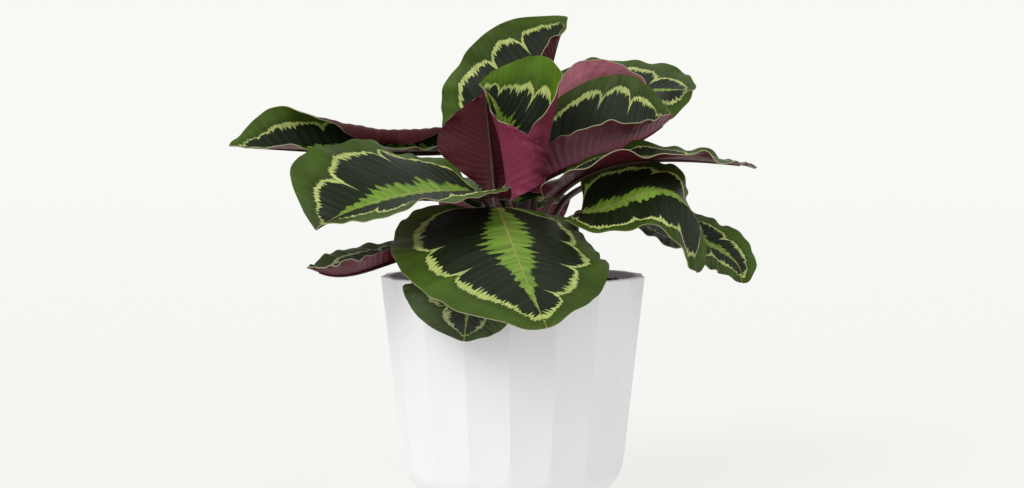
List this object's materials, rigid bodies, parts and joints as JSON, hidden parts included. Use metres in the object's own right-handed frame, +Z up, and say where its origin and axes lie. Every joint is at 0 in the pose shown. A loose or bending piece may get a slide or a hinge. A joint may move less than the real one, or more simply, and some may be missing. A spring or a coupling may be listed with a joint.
{
  "type": "potted prayer plant",
  "caption": "Foliage plant with broad painted oval leaves, green above and wine red below, on short stalks standing in soil in a white fluted round pot.",
  "frame": {"origin": "centre of the pot's flat base, where it stands", "axes": "+Z up along the pot's axis, -Y is the front that faces the viewer, +X is the viewer's right"},
  "size_m": [0.3392, 0.2904, 0.318],
  "materials": {
    "pot": "matt white fluted ceramic",
    "soil": "dark damp potting compost, crumbly",
    "blade": "leaf blade: satin green with a pale ring above, wine red below",
    "stalk": "leaf stalk: satin dark red brown"
  },
  "bodies": {
    "root": {"pot": "pot", "soil": "soil", "leaf_front": "blade", "stem_front": "stalk", "leaf_under": "blade", "stem_under": "stalk", "leaf_left": "blade", "stem_left": "stalk", "leaf_left_low": "blade", "stem_left_low": "stalk", "leaf_left_high": "blade", "stem_left_high": "stalk", "leaf_back_left": "blade", "stem_back_left": "stalk", "leaf_back_mid": "blade", "stem_back_mid": "stalk", "leaf_centre": "blade", "stem_centre": "stalk", "leaf_right_high": "blade", "stem_right_high": "stalk", "leaf_back_right": "blade", "stem_back_right": "stalk", "leaf_right_thin": "blade", "stem_right_thin": "stalk", "leaf_right_front": "blade", "stem_right_front": "stalk", "leaf_right_low": "blade", "stem_right_low": "stalk", "leaf_rear_left": "blade", "stem_rear_left": "stalk", "leaf_rear_mid": "blade", "stem_rear_mid": "stalk", "leaf_rear_right": "blade", "stem_rear_right": "stalk"}
  },
  "joints": []
}
